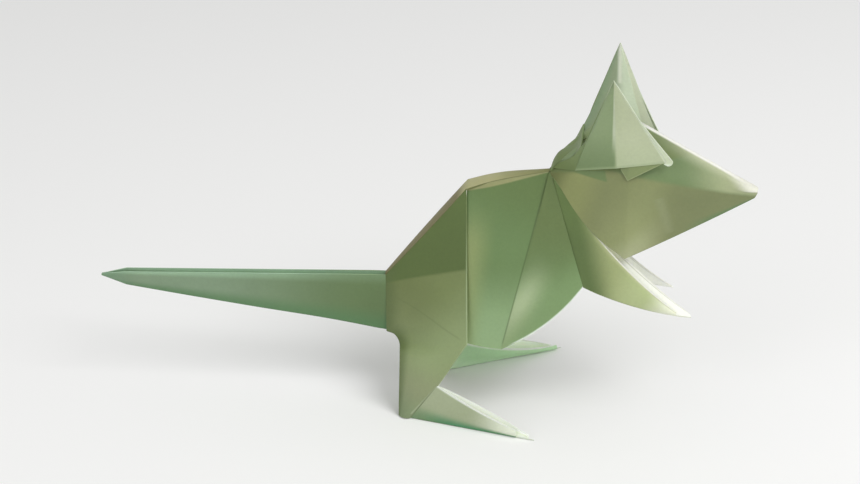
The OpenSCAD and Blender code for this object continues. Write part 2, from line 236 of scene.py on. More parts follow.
class Finish:
    """A material in the making, with the places that a paper finish refers to."""

    def __init__(self, name):
        self.material = bpy.data.materials.new(name)
        self.material.use_nodes = True
        self.tree = self.material.node_tree
        self.tree.nodes.clear()
        self.where = self.add("ShaderNodeTexCoord", {}, out="Object")
        place = self.add("ShaderNodeAttribute", {"attribute_name": "wall"}, out="Vector")
        self.u = self.add("ShaderNodeSeparateXYZ", {}, place, out="X")
        self.v = self.add("ShaderNodeSeparateXYZ", {}, place, out="Y")

    def add(self, kind, settings, *values, out=0, **named):
        node = new_node(self.tree, kind, settings, values, named)
        return Shade(self, node.outputs[out]) if node.outputs else None

    def paint(self, base, *layers):
        """Lays each colour over the ones before it, where its mask is above 0."""
        for mask, colour in layers:
            base = self.add("ShaderNodeMix", {"data_type": "RGBA"}, mask, base, colour, out=2)
        return base

    def across(self, a, b):
        """Distance in millimetres from the line a-b in the side view, positive on its left."""
        (ax, az), (bx, bz) = a, b
        length = math.hypot(bx - ax, bz - az)
        nx, nz = -(bz - az) / length, (bx - ax) / length
        dot = self.add("ShaderNodeVectorMath", {"operation": "DOT_PRODUCT"},
                       self.where, (nx * 1000, 0, nz * 1000), out="Value")
        return dot - (ax * nx + az * nz)

    def along(self, a, b):
        """0 at a and 1 at b in the side view."""
        (ax, az), (bx, bz) = a, b
        square = (bx - ax) ** 2 + (bz - az) ** 2
        tx, tz = (bx - ax) / square, (bz - az) / square
        dot = self.add("ShaderNodeVectorMath", {"operation": "DOT_PRODUCT"},
                       self.where, (tx * 1000, 0, tz * 1000), out="Value")
        return dot - (ax * tx + az * tz)

    def slope(self, a, b, start=0.0, end=1.0):
        """Goes from start at a to end at b in the side view."""
        return self.along(a, b).ramp(0, 1, start, end)

    def side(self, a, b, soft=1.2):
        """1 on the left of the line a-b and 0 on its right, with a soft edge."""
        return self.across(a, b).ramp(-soft / 2, soft / 2)

    def line(self, a, b, width=0.8, strength=1.0):
        """A thin soft line from a to b, which fades over a few hundredths of its length."""
        t, fade = self.along(a, b), 0.03
        thin = abs(self.across(a, b)).ramp(0, width, strength, 0)
        return thin * t.ramp(-fade, fade) * t.ramp(1 - fade, 1 + fade, 1, 0)

    def band(self, a, b, width):
        """A wide soft band along the line a-b, without ends."""
        return abs(self.across(a, b)).ramp(0, width, 1, 0)


# %% [markdown]
# ## Translucent paper
#
# Thin pale paper looks like tinted glass with a bloom. Where one layer stands in the light it
# is nearly cream, and each further layer behind it makes it deeper and greener. So the colour
# of a wall is painted: a base, and over it the layers that show through, with painted light and
# shade among them: painted highlights, painted shade in creases and hollows, and paler paint or
# a painted glow where a wall lies in shade. A fine fibre pattern and a coarser cloud pattern
# make the paper uneven, as real paper is, and light that sinks in and spreads inside the sheet
# comes from a little subsurface scattering.

# %% Paper
def srgb(red, green, blue):
    """A colour as it is seen, turned into the linear values that a shader works with."""
    linear = [v / 12.92 if v <= 0.04045 else ((v + 0.055) / 1.055) ** 2.4
              for v in (red / 255, green / 255, blue / 255)]
    return (*linear, 1.0)


def paper(name, look, glow=None):
    """A paper finish. look(f) gives its colour, and glow(f) a painted glow, given off as emission, that
    stands for the light that comes through the sheet.
    """
    f = Finish(name)
    fibres = f.add("ShaderNodeTexNoise", {"noise_dimensions": "3D"}, f.where, Scale=1100.0, Detail=3.0,
                   Roughness=0.6, out="Fac")
    clouds = f.add("ShaderNodeTexNoise", {"noise_dimensions": "3D"}, f.where, Scale=80.0, Detail=2.0,
                   Roughness=0.5, out="Fac")
    uneven = (fibres - 0.5) * 0.16 + (clouds - 0.5) * 0.14 + 1
    colour = f.add("ShaderNodeVectorMath", {"operation": "SCALE"}, look(f), Scale=uneven)
    height = f.add("ShaderNodeBump", {}, 0.12, 0.0002, Height=fibres + clouds * 0.6)
    # Painted glow: emission that stands for light coming through the sheet.
    through = {"Emission_Color": glow(f), "Emission_Strength": 1.0} if glow else {}
    shader = f.add("ShaderNodeBsdfPrincipled", {}, Base_Color=colour, Roughness=(fibres - 0.5) * 0.2 + 0.5,
                   Normal=height, Subsurface_Weight=0.25, Subsurface_Radius=(1.0, 1.0, 0.7),
                   Subsurface_Scale=0.0008, IOR=1.38, **through)
    f.add("ShaderNodeOutputMaterial", {}, shader)
    return f.material

# %% [markdown]
# ## Two Geometry Nodes trees: a wall and a fold
#
# Every wall of the rat follows one rule: take a curved sheet without thickness, let it
# buckle a little as handled paper does, but not at its folds, and give it thickness. The
# first tree does that. The second tree makes the rounded outside of each fold: a thin bead
# that follows a curve and gets finer at its ends.

# %% A helper that builds node trees
def node_tree(name, inputs):
    """A Geometry Nodes tree with named inputs, and a function that adds a node to it."""
    tree = bpy.data.node_groups.new(name, "GeometryNodeTree")
    tree.interface.new_socket("Geometry", in_out="INPUT", socket_type="NodeSocketGeometry")
    for label, kind, value in inputs:
        socket = tree.interface.new_socket(label, in_out="INPUT", socket_type=kind)
        if value is not None:
            socket.default_value = value
    tree.interface.new_socket("Geometry", in_out="OUTPUT", socket_type="NodeSocketGeometry")

    def add(kind, settings, *values, **named):
        return new_node(tree, kind, settings, values, named)

    return tree, add


def run_tree(obj, tree, **values):
    """Applies the tree to the object and returns the result as a plain mesh."""
    modifier = obj.modifiers.new("nodes", "NODES")
    modifier.node_group = tree
    for item in tree.interface.items_tree:
        key = item.name.replace(" ", "_").lower()
        if item.in_out == "INPUT" and key in values:
            modifier[item.identifier] = values[key]
    evaluated = obj.evaluated_get(bpy.context.evaluated_depsgraph_get())
    mesh = bpy.data.meshes.new_from_object(evaluated)
    bpy.data.objects.remove(obj)
    return mesh


# %% The tree of a paper wall
wall_tree, add = node_tree("Paper wall", [("Thickness", "NodeSocketFloat", 0.0005),
                                          ("Buckle", "NodeSocketFloat", 0.0002),
                                          ("Seed", "NodeSocketFloat", 0.0),
                                          ("Paper", "NodeSocketMaterial", None)])
given = add("NodeGroupInput", {}).outputs
faces = add("GeometryNodeInputMeshEdgeNeighbors", {}).outputs["Face Count"]
is_border = add("FunctionNodeCompare", {"data_type": "INT", "operation": "EQUAL"}, faces, 1).outputs[0]
border = add("GeometryNodeSeparateGeometry", {"domain": "EDGE"}, given["Geometry"], is_border).outputs[0]
reach = add("GeometryNodeProximity", {"target_element": "EDGES"}, border).outputs["Distance"]
place = add("GeometryNodeInputPosition", {}).outputs[0]
waves = add("ShaderNodeTexNoise", {"noise_dimensions": "4D"}, place, given["Seed"],
            Scale=45.0, Detail=1.0).outputs["Fac"]
centred = add("ShaderNodeMath", {"operation": "SUBTRACT"}, waves, 0.5).outputs[0]
inner = add("ShaderNodeMapRange", {}, reach, 0.0, 0.006, 0.0, 1.0).outputs[0]
eased = add("ShaderNodeMath", {"operation": "MULTIPLY"}, centred, inner).outputs[0]
lift = add("ShaderNodeMath", {"operation": "MULTIPLY"}, eased, given["Buckle"]).outputs[0]
half = add("ShaderNodeMath", {"operation": "MULTIPLY_ADD"}, given["Thickness"], -0.5, lift).outputs[0]
normal = add("GeometryNodeInputNormal", {}).outputs[0]
shift = add("ShaderNodeVectorMath", {"operation": "SCALE"}, normal, Scale=half).outputs[0]
buckled = add("GeometryNodeSetPosition", {}, given["Geometry"], Offset=shift).outputs[0]
raised = add("GeometryNodeExtrudeMesh", {"mode": "FACES"}, buckled, Offset_Scale=given["Thickness"],
             Individual=False)
front = add("GeometryNodeSetShadeSmooth", {"domain": "FACE"}, raised.outputs["Mesh"],
            raised.outputs["Side"], False).outputs[0]
back = add("GeometryNodeFlipFaces", {}, buckled).outputs[0]
both = add("GeometryNodeJoinGeometry", {})
wall_tree.links.new(back, both.inputs[0])
wall_tree.links.new(front, both.inputs[0])
closed = add("GeometryNodeMergeByDistance", {}, both.outputs[0], Distance=0.000002).outputs[0]
whole = add("GeometryNodeRealizeInstances", {}, closed).outputs[0]
painted = add("GeometryNodeSetMaterial", {}, whole, Material=given["Paper"]).outputs[0]
add("NodeGroupOutput", {}, painted)
print("nodes in the wall tree:", len(wall_tree.nodes))

# %% The tree of a folded edge
fold_tree, add = node_tree("Folded edge", [("Width", "NodeSocketFloat", 0.0005),
                                           ("Facets", "NodeSocketInt", 8),
                                           ("Fine Ends", "NodeSocketFloat", 0.004),
                                           ("Paper", "NodeSocketMaterial", None)])
given = add("NodeGroupInput", {}).outputs
length = add("GeometryNodeSplineLength", {}).outputs["Length"]
run = add("GeometryNodeSplineParameter", {}).outputs["Length"]
rest = add("ShaderNodeMath", {"operation": "SUBTRACT"}, length, run).outputs[0]
near_end = add("ShaderNodeMath", {"operation": "MINIMUM"}, run, rest).outputs[0]
taper = add("ShaderNodeMapRange", {}, near_end, 0.0, given["Fine Ends"], 0.55, 1.0).outputs[0]
radius = add("ShaderNodeMath", {"operation": "MULTIPLY"}, given["Width"], 0.5).outputs[0]
ring = add("GeometryNodeCurvePrimitiveCircle", {}, given["Facets"], Radius=radius).outputs[0]
bead = add("GeometryNodeCurveToMesh", {}, given["Geometry"], ring, taper, True).outputs[0]
whole = add("GeometryNodeRealizeInstances", {}, bead).outputs[0]
painted = add("GeometryNodeSetMaterial", {}, whole, Material=given["Paper"]).outputs[0]
add("NodeGroupOutput", {}, painted)
print("nodes in the fold tree:", len(fold_tree.nodes))

# %% Making one wall, and collecting the folds
made = []
fold_lines = {}


def wall(rows, finish, thickness=SHEET, buckle=0.35, seed=0.0):
    """One paper wall from rows of points in millimetres."""
    rows = np.asarray(rows, float) / 1000
    m, n = rows.shape[:2]
    mesh = bpy.data.meshes.new("sheet")
    quads = [(j * n + i, j * n + i + 1, (j + 1) * n + i + 1, (j + 1) * n + i)
             for j in range(m - 1) for i in range(n - 1)]
    mesh.from_pydata(rows.reshape(-1, 3).tolist(), [], quads)
    uv = mesh.uv_layers.new(name="wall")
    for polygon, quad in zip(mesh.polygons, quads):
        for corner, vertex in zip(polygon.loop_indices, quad):
            uv.data[corner].uv = ((vertex % n) / (n - 1), (vertex // n) / (m - 1))
    mesh.shade_smooth()
    obj = bpy.data.objects.new("sheet", mesh)
    bpy.context.collection.objects.link(obj)
    made.append(run_tree(obj, wall_tree, thickness=thickness / 1000, buckle=buckle / 1000,
                         seed=seed, paper=finish))


def fold(finish, *lines):
    """Remembers the lines along which this finish gets a bead."""
    fold_lines.setdefault(finish.name, []).extend(np.asarray(line, float) / 1000 for line in lines)


def make_folds(width=FOLD):
    """Turns all remembered lines into beads, one mesh for each finish."""
    for name, lines in fold_lines.items():
        data = bpy.data.curves.new("folds", "CURVE")
        data.dimensions = "3D"
        for line in lines:
            spline = data.splines.new("POLY")
            spline.points.add(len(line) - 1)
            spline.points.foreach_set("co", np.c_[line, np.ones(len(line))].ravel())
        obj = bpy.data.objects.new("folds", data)
        bpy.context.collection.objects.link(obj)
        made.append(run_tree(obj, fold_tree, width=width / 1000, paper=bpy.data.materials[name]))
        print(name, "beads:", len(lines))

# %% [markdown]
# ## Finishes of the walls
#
# Each function below paints one wall, from its base colour to the last painted highlight.
# Much of it is painted light and shade. `slope` lets one colour drift into another, `side`
# marks the edge of a hidden layer that shows through, `line` draws a crease, and `u` and `v`
# follow the wall's own edges.

# %% Tail and haunches
def tail_look(f, rim=(150, 180, 148), fade=0.75):
    root = f.slope((-75, 36), (-16, 32))
    return f.paint(srgb(130, 152, 124),
                   (root, srgb(102, 124, 82)),
                   (f.v.ramp(0.55, 1.0) * 0.9, srgb(92, 130, 88)),
                   (f.v.ramp(0.0, 0.22, 1, 0) * (1 - root * fade), srgb(*rim)),
                   (f.slope((-92, 38), (-105, 38)), srgb(116, 146, 116)))


def haunch_look(f):
    low = f.slope((2, 40), (-4, 20))
    return f.paint(srgb(110, 122, 74),
                   (f.slope((-8, 44), (12, 36)) * 0.8, srgb(124, 138, 88)),
                   (low * 0.7, srgb(130, 142, 98)),
                   (f.side((-10.7, 38.8), (14.4, 48.5), 1.2), srgb(90, 108, 58)),
                   (f.slope((4, 38), (14, 27)) * 0.8, srgb(144, 160, 114)),
                   (f.slope((0, 22), (0, 8)) * 0.8, srgb(141, 148, 114)),
                   (f.slope((-2, 12), (-6, 1)) * 0.6, srgb(116, 136, 102)),
                   # Painted shade: darker along the rear edge, in the valley where the tail meets the
                   # haunch.
                   (f.v.ramp(0.0, 0.22, 0.75, 0), srgb(90, 106, 62)),
                   # Painted shade: a faint dark line along a crease of the haunch.
                   (f.line((-7.3, 33.8), (13.5, 27.3), 0.5, 0.25), srgb(96, 110, 66)),
                   (f.line((6.7, 11.4), (-1.5, 1.8), 0.6, 0.8), srgb(160, 170, 140)),
                   (f.v.ramp(0.988, 0.998) * f.u.ramp(0.0, 0.6, 0.0, 0.6), srgb(156, 174, 130)))


def spine_look(f):
    return f.paint(srgb(118, 112, 66),
                   (f.u.ramp(0.45, 0.52), srgb(172, 170, 124)),
                   (f.u.ramp(0.66, 1.0), srgb(132, 134, 88)))


# %% Flanks
def flank_look(f):
    crease = (39.9, 77.8), (27.1, 25.5)
    low = f.slope((24, 52), (24, 28))
    fore = f.side(*crease, 0.4)
    # Painted highlight: a soft pale band in front of the crease, strongest low on the flank.
    painted_sheen = fore * f.band((37.5, 47), (27.5, 26), 7.0) * f.slope((42, 54), (31, 34))
    return f.paint(srgb(106, 131, 84),
                   (low, srgb(142, 168, 124)),
                   # Painted light: a paler strip along the haunch's front fold, where the flank turns
                   # towards the light.
                   (f.slope((15, 50), (24, 49), 1, 0) * f.slope((17, 72), (17, 54)), srgb(140, 154, 102)),
                   (f.slope((22, 58), (28, 77)) * 0.8, srgb(98, 118, 70)),
                   (f.side((14.5, 72.3), (40.5, 78.7), 0.5), srgb(146, 148, 104)),
                   (fore * f.slope((44, 40), (44, 66)) * 0.9, srgb(103, 120, 74)),
                   (painted_sheen, srgb(174, 188, 150)),
                   (fore * f.slope((44, 52), (51, 44)) * 0.8, srgb(120, 146, 98)),
                   # Painted shade: a thin dark line along the crease from neck to belly.
                   (f.line(*crease, 0.4, 0.6), srgb(78, 98, 56)),
                   (f.v.ramp(0.985, 1.0) * f.u.ramp(0.52, 0.6), srgb(232, 242, 228)))


# %% Legs
def arm_look(f):
    lit = f.across((52.5, 44), (44.5, 76)).ramp(-11, -1, 1, 0)
    return f.paint(srgb(94, 113, 66),
                   (f.side((49, 62), (57, 64), 8) * 0.9, srgb(98, 118, 68)),
                   (lit, srgb(156, 166, 116)),
                   # Painted light: paler, then near white, towards the paw, where the thin paper is lit
                   # through.
                   (f.slope((58, 46), (70, 41)), srgb(176, 188, 138)),
                   (f.slope((71, 41), (80, 37)), srgb(230, 234, 210)),
                   (f.v.ramp(0.0, 0.2, 1, 0) * f.u.ramp(0.2, 0.5) * 0.7, srgb(186, 190, 148)),
                   (f.v.ramp(0.0, 0.05, 1, 0) * f.u.ramp(0.14, 0.45), srgb(236, 238, 220)))


def arm_lining_look(f):
    # Painted light: the lining is painted near white, paler still towards its lower front, for light
    # through the thin paper and against the head's shade over it.
    return f.paint(srgb(232, 234, 206),
                   (f.slope((50, 70), (60, 58)), srgb(246, 248, 236)),
                   (abs(f.v - 0.93).ramp(0.01, 0.04, 1, 0) * 0.4, srgb(150, 156, 118)))


def near_foot_look(f):
    return f.paint(srgb(160, 170, 138),
                   (f.v.ramp(0.0, 0.45, 1, 0), srgb(80, 140, 98)),
                   (f.slope((2, 8), (-2, 2)) * 0.6, srgb(132, 140, 104)),
                   # Painted highlight: near white towards the toe, above the sole.
                   (f.slope((16, 5), (32, 1)) * f.v.ramp(0.1, 0.4), srgb(222, 228, 210)),
                   (f.v.ramp(0.94, 1.0), srgb(232, 238, 226)))


def far_foot_look(f):
    # Painted light: the far foot is painted much paler than the near one, to lift the shade of the body
    # over it, and paler still towards its sole.
    return f.paint(srgb(186, 222, 176),
                   (f.v.ramp(0.1, 0.5, 0.9, 0), srgb(216, 244, 208)),
                   (f.slope((14, 10), (6, 10)) * 0.6, srgb(220, 238, 206)),
                   (f.v.ramp(0.86, 1.0), srgb(240, 246, 234)))


def foot_lining_look(f):
    # Painted light: near white, and whiter towards the rim, to lift the shade inside the foot.
    return f.paint(srgb(226, 234, 216), (f.v.ramp(0.4, 0.8), srgb(246, 249, 242)))


def shank_look(f):
    # Painted light: painted pale to lift the shade behind the haunch's front edge, darker towards the
    # floor.
    return f.paint(srgb(196, 210, 172), (f.slope((0, 18), (0, 2)), srgb(160, 170, 136)))


# %% Head and ears
def head_look(f):
    upper = f.side((66, 81.2), (101, 73.7), 1.6)
    rearward = f.slope((63, 66), (80, 66), 1, 0)
    return f.paint(srgb(128, 135, 92),
                   (f.slope((58, 72), (48, 74)) * 0.6, srgb(150, 156, 100)),
                   # Painted shade: the front of the cheek, which the ear's shadow doesn't reach, is painted
                   # a little darker.
                   (f.slope((68, 70), (86, 72)), srgb(122, 130, 90)),
                   (f.slope((50, 68), (66, 55)) * rearward * 0.8, srgb(152, 160, 112)),
                   (f.slope((62, 60), (67, 54)) * rearward * 0.7, srgb(176, 180, 146)),
                   (f.line((74.5, 74), (78.5, 62), 2.6, 0.3), srgb(150, 158, 124)),
                   (upper, srgb(112, 132, 88)),
                   # Painted light: the upper cheek turns paler towards the snout, its lit top.
                   (upper * f.slope((80, 78), (98, 80)), srgb(162, 170, 132)),
                   # Painted shade: darker green along the lower edge under the snout.
                   (f.v.ramp(0.0, 0.1, 1, 0) * f.slope((80, 64), (92, 70)) * 0.8, srgb(96, 126, 86)),
                   (f.slope((47, 76), (41.5, 78)) * 0.8, srgb(96, 104, 58)),
                   (f.side((40.5, 78.8), (57.6, 81.9), 1.5), srgb(112, 128, 78)),
                   (f.side((48.9, 80.2), (58.3, 78.8), 0.6) * f.side((58.3, 78.8), (57.6, 82.2), 0.6)
                    * f.side((57.6, 82.2), (48.9, 80.8), 0.6), srgb(110, 130, 84)),
                   # Painted highlight: a pale band below the ridge, a white strip along it and a white cap
                   # on the snout, where the roll is lit.
                   (f.v.ramp(0.66, 0.86) * f.slope((70, 90), (88, 86)), srgb(176, 182, 148)),
                   (f.v.ramp(0.82, 0.92) * f.slope((64, 97), (72, 93)), srgb(240, 240, 230)),
                   (f.slope((98, 74), (103, 77)) * f.v.ramp(0.46, 0.6), srgb(226, 226, 212)))


def ear_look(f, pale=(184, 194, 158), low=(168, 182, 142)):
    rear = f.v.ramp(0.46, 0.52, 1, 0)
    return f.paint(srgb(*pale),
                   (f.u.ramp(0.65, 1.0) * 0.8, srgb(*low)),
                   (f.side((60, 107.5), (60, 82.5), 12) * 0.3, srgb(206, 212, 186)),
                   # Painted shade and highlight: the rear half of the cup, turned away from the light, is
                   # darker, and a pale band runs along the crease.
                   (rear, srgb(138, 156, 116)),
                   (rear * f.u.ramp(0.5, 1.0), srgb(124, 144, 102)),
                   (abs(f.v - 0.48).ramp(0.01, 0.05, 1, 0) * f.u.ramp(0.02, 0.1) * f.u.ramp(0.6, 0.9, 1, 0),
                    srgb(188, 198, 170)),
                   (f.u.ramp(0.965, 0.99) * 0.5, srgb(160, 176, 136)),
                   (f.v.ramp(0.975, 0.99), srgb(206, 216, 186)))


def ear_lining_look(f):
    return f.paint(srgb(132, 152, 118),
                   (f.u.ramp(0.1, 0.5), srgb(140, 154, 124)),
                   (f.u.ramp(0.55, 0.9), srgb(196, 208, 182)),
                   (f.v.ramp(0.45, 1.0) * f.u.ramp(0.3, 0.6, 1, 0.25), srgb(124, 140, 92)),
                   (f.line((60.9, 116), (61.3, 104), 1.1, 0.9), srgb(208, 214, 194)))


def nape_look(f):
    return f.paint(srgb(126, 144, 100), (f.slope((54, 88), (44, 81)), srgb(112, 128, 80)))


def ear_layer_look(f):
    return f.paint(srgb(130, 143, 98), (f.v.ramp(0.9, 1.0) * 0.6, srgb(162, 172, 132)))


def ear_rim_look(f):
    return f.paint(srgb(196, 207, 176), (f.u.ramp(0.8, 1.0), srgb(222, 232, 210)))


# %% Folded edges
def edge(name, start, end, a, b):
    """The finish of beads whose colour drifts from start at a to end at b."""
    return paper(name, lambda f: f.paint(srgb(*start), (f.slope(a, b), srgb(*end))))


def haunch_edge_look(f):
    return f.paint(srgb(112, 128, 82),
                   (f.slope((14, 68), (16, 34)), srgb(158, 176, 132)),
                   (f.slope((14, 70.5), (14, 73)), srgb(216, 218, 196)))


# %% Make the finishes of the walls
NO_LIGHT = srgb(0, 0, 0)

tail_papers = {NEAR: paper("near tail paper", tail_look),
               # Painted light: the far wall's rim is paler and fades less towards the root, to lift the
               # shade inside the trough.
               FAR: paper("far tail paper", lambda f: tail_look(f, (172, 208, 172), 0.2))}
haunch_paper = paper("haunch paper", haunch_look)
flank_paper = paper("flank paper", flank_look)
spine_paper = paper("spine paper", spine_look)
arm_paper = paper("front leg paper", arm_look)
# Painted glow: emission on the front leg lining, strongest towards the neck, where the head shades it.
arm_lining = paper("front leg lining", arm_lining_look,
                   lambda f: f.paint(NO_LIGHT, (f.slope((69, 51), (61, 59)), srgb(126, 128, 100))))
foot_papers = {NEAR: paper("near foot paper", near_foot_look), FAR: paper("far foot paper", far_foot_look)}
# Painted glow: emission on the foot lining, strongest at its rim.
foot_lining = paper("foot lining", foot_lining_look,
                    lambda f: f.paint(NO_LIGHT, (f.v, srgb(116, 122, 104))))
shank_paper = paper("shank paper", shank_look)
head_paper = paper("head paper", head_look)
ear_papers = {NEAR: paper("near ear paper", ear_look),
              # Painted light: the far ear is paler than the near one, for the light through its inner face.
              FAR: paper("far ear paper", lambda f: ear_look(f, (196, 204, 178), (196, 206, 180)))}
ear_lining = paper("ear lining", ear_lining_look)
nape_paper = paper("nape paper", nape_look)
ear_layer = paper("second layer of the ear", ear_layer_look)
ear_rim = paper("ear rim", ear_rim_look)
print("finishes so far:", len(bpy.data.materials))

# %% Make the finishes of the folds
tail_top_edge = edge("tail top edge", (156, 188, 156), (132, 158, 118), (-50, 40), (-14, 41))
tail_low_edge = edge("tail low edge", (112, 140, 108), (84, 120, 78), (-80, 34), (-20, 25))
rump_edge = edge("rump edge", (104, 110, 66), (122, 126, 82), (0, 60), (40, 79))
leg_edge = edge("leg edge", (96, 112, 68), (132, 144, 110), (0, 24), (0, 8))
shin_edge = edge("shin edge", (150, 164, 122), (206, 212, 186), (12, 20), (5, 9))
haunch_edge = paper("haunch edge", haunch_edge_look)
belly_fold = edge("belly edge", (206, 220, 196), (238, 244, 232), (30, 25), (38, 29))
arm_edge = edge("arm edge", (136, 146, 98), (242, 242, 228), (44, 77), (54, 65))
arm_low_edge = edge("arm low edge", (132, 152, 100), (214, 220, 190), (54, 43), (84, 35))
foot_edge = edge("foot edge", (206, 216, 194), (238, 242, 232), (2, 8), (14, 6))
foot_low_edge = edge("foot low edge", (120, 144, 108), (210, 218, 200), (16, 1), (38, 1))
head_lip = edge("head lip", (124, 134, 92), (168, 176, 140), (42, 78), (66, 55))
chin_edge = edge("chin edge", (150, 160, 124), (116, 144, 104), (68, 56), (88, 66))
# Painted highlight: the ridge bead turns white towards the snout, where the roll is lit.
head_ridge = edge("head ridge", (150, 160, 124), (242, 242, 234), (58, 93), (74, 92))
ear_edge = edge("ear edge", (200, 210, 182), (214, 224, 196), (60, 112), (74, 88))
ear_rear_edge = edge("ear rear edge", (160, 174, 142), (118, 136, 92), (59, 114), (55, 102))
print("finishes with the folds:", len(bpy.data.materials))

# %% [markdown]
# ## The tail
#
# A long trough with its fold below and its two edges open above. The walls run on inside the
# haunches and rise to the spine.

# %% Tail
TAIL_STEPS = [0.09, 0.3, 0.55, 0.8, 1]
PER_STEP = 12
TAIL_CORNERS = (1, len(TAIL_STEPS))
ROOT_INDEX = PER_STEP * len(TAIL_STEPS)
tail_tip = point(TIP_X + 0.4, 0, TAIL_TIP_H - 0.45 * TAIL_TIP_DEPTH)


def tail_low(u):
    """A point on the lower fold, which sags a little and dips where it enters the haunches."""
    straight = mix(TAIL_TIP_H - TAIL_TIP_DEPTH, TAIL_ROOT_H - TAIL_ROOT_DEPTH, u)
    return point(mix(TIP_X, ROOT_X, u), 0, straight - 1.6 * u * (1 - u) - (0.8 if u == 1 else 0))


def tail_top(s):
    """The open upper edge of one side, and its end inside the back."""
    rim = [spot(s, mix(TIP_X, ROOT_X, u), TAIL_GAP / 2, mix(TAIL_TIP_H, TAIL_ROOT_H, u))
           for u in TAIL_STEPS]
    inside = mix(root_top(s), peak(s), 0.6) - point(0, s * 0.6, 2.5)
    return curve([tail_tip + point(0, s * 0.15, 0.2), *rim, inside], per=PER_STEP, corners=TAIL_CORNERS)


fold_end = point(ROOT_X + 15.6, 0, mix(TAIL_ROOT_H - TAIL_ROOT_DEPTH, PEAK_H, 0.3))
tail_fold = curve([tail_tip - point(0, 0, 0.2), *[tail_low(u) for u in TAIL_STEPS], fold_end],
                  per=PER_STEP, corners=TAIL_CORNERS)
for s in (NEAR, FAR):
    wall(between(tail_top(s), tail_fold, 14, (0, s * 0.3, 0)), tail_papers[s], seed=s)
    fold(tail_top_edge, tail_top(s)[:ROOT_INDEX + 1])
fold(tail_low_edge, np.vstack([tail_fold[:ROOT_INDEX + 1], root_low(NEAR)]))
print("walls so far:", len(made))

# %% [markdown]
# ## Haunches, flanks and spine
#
# The haunch is the broad outer wall from the spine down to the heel. Its front edge is a
# fold: the paper turns back under it, and comes forward again as the flank, which bends at
# the crease from neck to belly. The spine is the ridge of the back, pressed flat.

# %% Haunches
SHIN_START = 40  # the index of the point half way from the knee to the crotch


def haunch_front(s): return [mix(peak(s), knee(s), i / 4) for i in range(5)]


for s in (NEAR, FAR):
    fall = thigh(s) - root_low(s)
    bend = [root_low(s) + fall * point(math.sin(a), 1 - math.cos(a), 1 - math.cos(a))
            for a in np.radians([0, 30, 60, 90])]
    rear = curve([root_top(s), mix(root_top(s), root_low(s), 0.5), *bend,
                  mix(thigh(s), heel(s), 0.5), heel(s)], corners=(2,))
    front = curve([*haunch_front(s), mix(knee(s), crotch(s), 0.5), crotch(s), heel_front(s)],
                  corners=(4, 6))
    wall(between(rear, front, 28, (0, s * BULGE, 0)), haunch_paper, seed=2 + s)
    fold(haunch_edge, front[:SHIN_START + 1])
    fold(leg_edge, rear[14:])
    fold(shin_edge, front[SHIN_START:])
print("walls so far:", len(made))

# %% Spine
def back_line(s):
    return curve([peak(s), back_edge(s), withers(s), neck(s)])


def spine_edge(s):
    return np.concatenate([bow(root_top(s), peak(s), point(0, s * BULGE, 0), 26), back_line(s)[1:]])


wall(between(spine_edge(NEAR), spine_edge(FAR), 6, (0, 0, 0.3)), spine_paper, seed=12)
fold(rump_edge, spine_edge(NEAR), spine_edge(FAR))

# %% Flanks with the fold behind the haunch
BELLY_INDEX = 32  # where the lower edge turns at the belly

for s in (NEAR, FAR):
    front = haunch_front(s)
    hidden = [mix(peak(s), root_top(s), PLEAT_RUN / 26) - point(0, s * 0.6 * PLEAT_GAP, 0.8)]
    hidden += [p - point(PLEAT_RUN, s * PLEAT_GAP, 0) for p in front[1:]]
    wall(between(curve(front), curve(hidden), 4), flank_paper, seed=6 + s)
    low = list(bow(hidden[4], belly(s), point(0, 0, -0.4), 4))
    low += list(bow(belly(s), chest(s), point(1.4, s, -1.3), 4)[1:])
    low_edge = curve(low, corners=(4,))
    back = back_line(s)
    inset = np.maximum(1 - np.arange(25) / 8, 0)[:, None] * point(0, s * 0.4 * PLEAT_GAP, 0.4)
    under_haunch = mix(hidden[0], back[0] - inset[0], np.arange(8)[:, None] / 8)
    fan = [mix(neck(s) + point(0, 0, 0.8), p, 0.02) for p in low_edge[BELLY_INDEX + 1:]]
    top_edge = np.vstack([under_haunch, back - inset, fan])
    swell = np.minimum(np.arange(len(top_edge)) / 10, 1)[:, None] * point(0, s * BULGE, 0)
    wall(between(top_edge, low_edge, 40, swell), flank_paper, seed=9 + s)
    fold(belly_fold, low_edge[BELLY_INDEX + 1:])
print("walls so far:", len(made))

# %% [markdown]
# ## Legs
# Front and hind legs are troughs too. Their inner walls face up into the light, and they are
# painted as the palest paper of all, with a painted glow on the linings: painted light that
# lifts the shade inside the troughs.

# %% Front legs
for s in (NEAR, FAR):
    sag = point(0, s * 0.8, -1.3)
    short = 1 - PAW_TIP / np.linalg.norm(paw(s) - chest(s))
    under, outer = bow(chest(s), paw(s), sag, 28), bow(chest(s), paw(s), sag, 28, short)
    outer_rim = bow(neck(s) + point(0.9, s, -1.4), outer[-1] + point(0, s * 0.2, 0.9),
                    point(0, s * 1.6, -3.2), 28)
    inner_rim = bow(neck(s) + point(1.4, s * 0.4, -1.2), paw(s) + point(-0.5, -s * 0.8, 0.8),
                    point(0, -s * 0.4, -3.6), 28)
    wall(between(outer_rim, outer, 20, (0, s * 0.6, 0)), arm_paper, seed=15 + s)
    wall(between(under, inner_rim, 12), arm_lining, seed=18 + s)
    fold(arm_edge, outer_rim, inner_rim)
    fold(arm_low_edge, under)

# %% Hind feet and the lining of the shank
def foot_wall(s, behind, gap, sag=0.0, early=0.0):
    """One side of a foot. It ends behind the toe, and its rim leaves the middle by half the gap."""
    end = toe(s) - ahead(s, behind)
    sole = bow(heel_front(s) - ahead(s, early / 2), end, 0, 30)
    rim = bow(crotch(s) - ahead(s, early), end + point(0, 0, TOE_H + 0.2 * behind),
              aside(s, gap / 2) - point(0, 0, sag), 30)
    return between(sole, rim, 12, aside(s, gap / 5))


